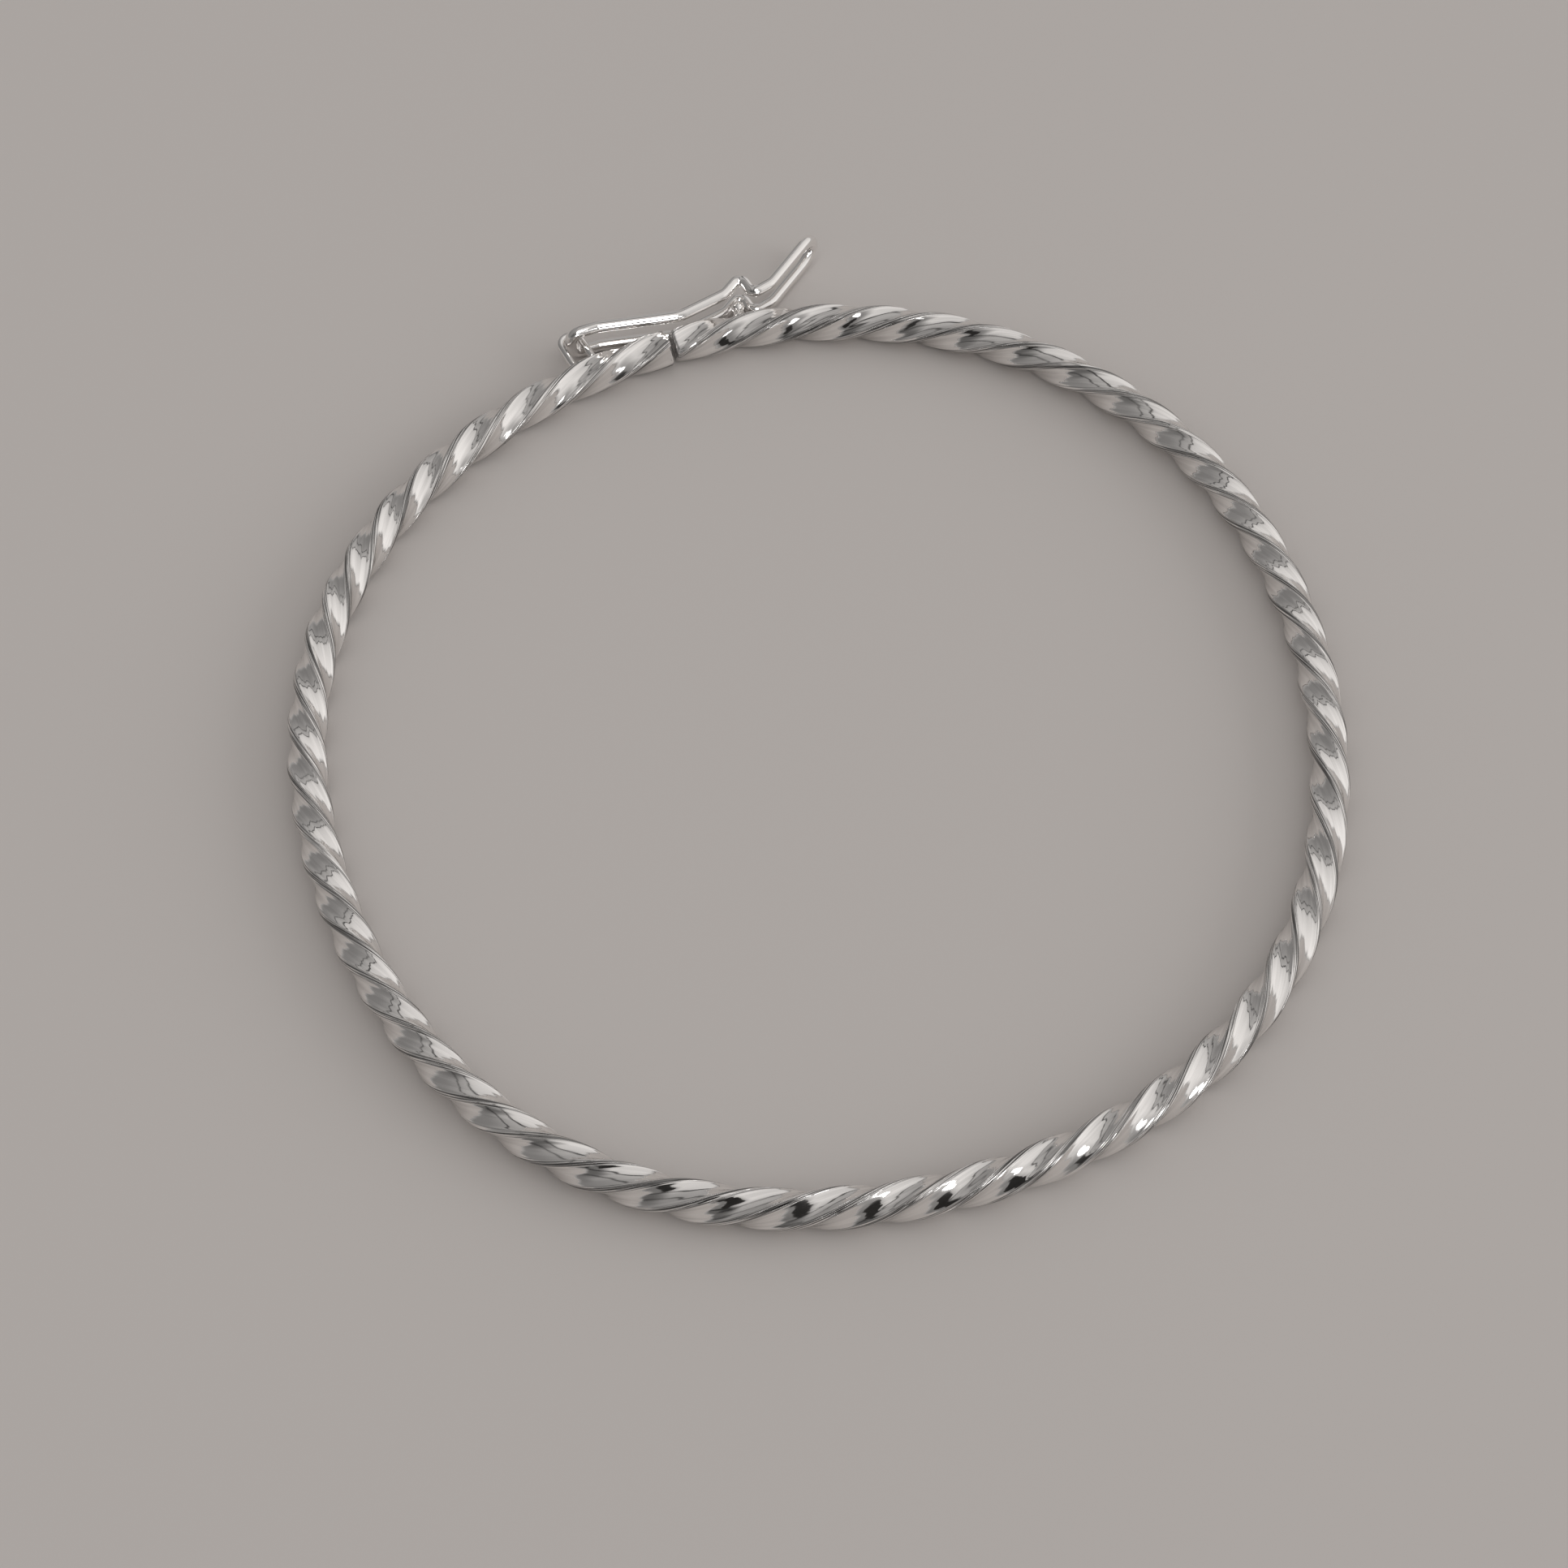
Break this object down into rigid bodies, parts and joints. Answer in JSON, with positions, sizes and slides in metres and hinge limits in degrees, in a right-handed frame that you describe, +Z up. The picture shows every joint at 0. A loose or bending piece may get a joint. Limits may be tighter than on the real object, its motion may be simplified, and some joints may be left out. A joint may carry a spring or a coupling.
{
  "type": "twisted wire bangle",
  "caption": "Slim round bangle of twisted square silver wire, open at a butt joint that a small hinged wire latch closes over a round-headed peg.",
  "frame": {"origin": "centre of the bangle's ring, on the plane that the bangle lies on", "axes": "+Z up through the ring, along the wearer's wrist; +Y from the centre to the butt joint at the clasp; +X to the right, from the latch's hinge towards its finger tab"},
  "size_m": [0.0646, 0.0706, 0.0027],
  "materials": {
    "band_silver": "polished silver with fine wear",
    "latch_silver": "polished drawn silver wire"
  },
  "bodies": {
    "bangle": {"band": "band_silver"},
    "latch": {"latch": "latch_silver"}
  },
  "joints": [
    {"name": "latch_hinge", "type": "hinge", "parent": "bangle", "child": "latch", "pos_m": [-0.0062, 0.03388, 0.00135], "axis": [0, 0, 1], "range_deg": [0, 150]}
  ]
}
